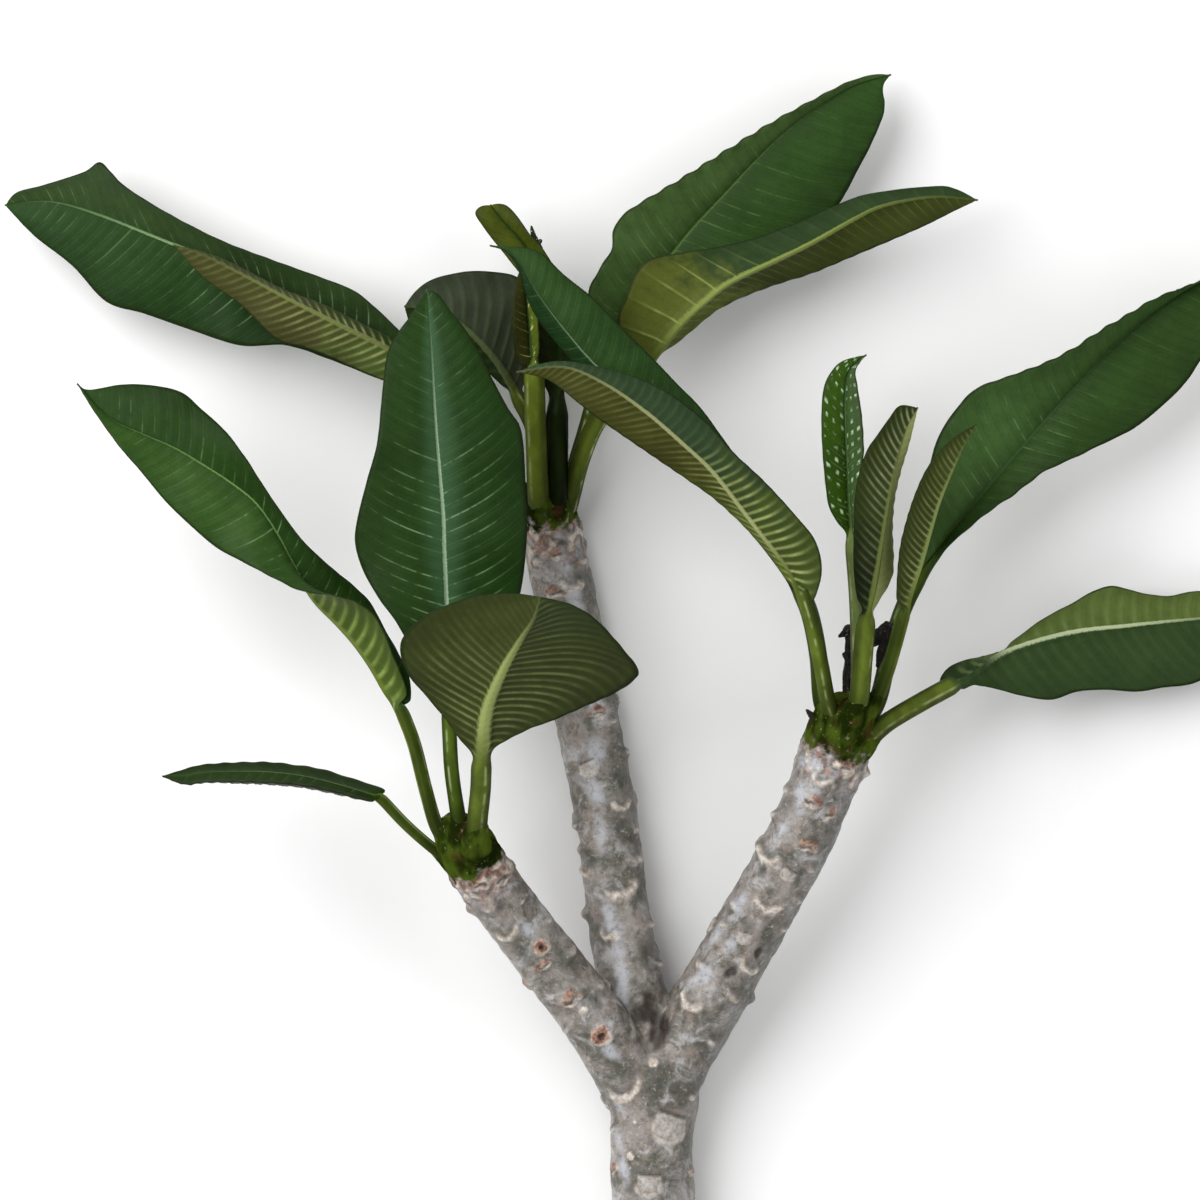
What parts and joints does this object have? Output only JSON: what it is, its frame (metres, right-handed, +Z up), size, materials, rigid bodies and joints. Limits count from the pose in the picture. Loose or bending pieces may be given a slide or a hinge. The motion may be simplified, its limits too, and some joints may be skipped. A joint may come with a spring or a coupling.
{
  "type": "plumeria branch",
  "caption": "Cut plumeria branch lying on its back: a grey, scarred trunk that forks into bare arms, each ending in a whorl of long green leaves.",
  "frame": {"origin": "middle of the branch's bounding box, on the surface that it lies on", "axes": "+Y along the trunk from its cut end towards the leaves, +X to the right arm's side, +Z up from the surface"},
  "size_m": [0.6344, 0.5957, 0.1973],
  "materials": {
    "bark": "matte",
    "leaf": "satin",
    "dried": "matte"
  },
  "bodies": {
    "root": {"stem": "bark", "left_leaf_1": "leaf", "left_leaf_2": "leaf", "left_leaf_3": "leaf", "left_leaf_4": "leaf", "middle_leaf_1": "leaf", "middle_leaf_2": "leaf", "middle_leaf_3": "leaf", "middle_leaf_4": "leaf", "middle_leaf_5": "leaf", "middle_leaf_6": "leaf", "middle_leaf_7": "leaf", "right_leaf_1": "leaf", "right_leaf_2": "leaf", "right_leaf_3": "leaf", "right_leaf_4": "leaf", "right_leaf_5": "leaf", "right_leaf_6": "leaf", "right_leaf_7": "leaf", "dried_stalk": "dried"}
  },
  "joints": []
}
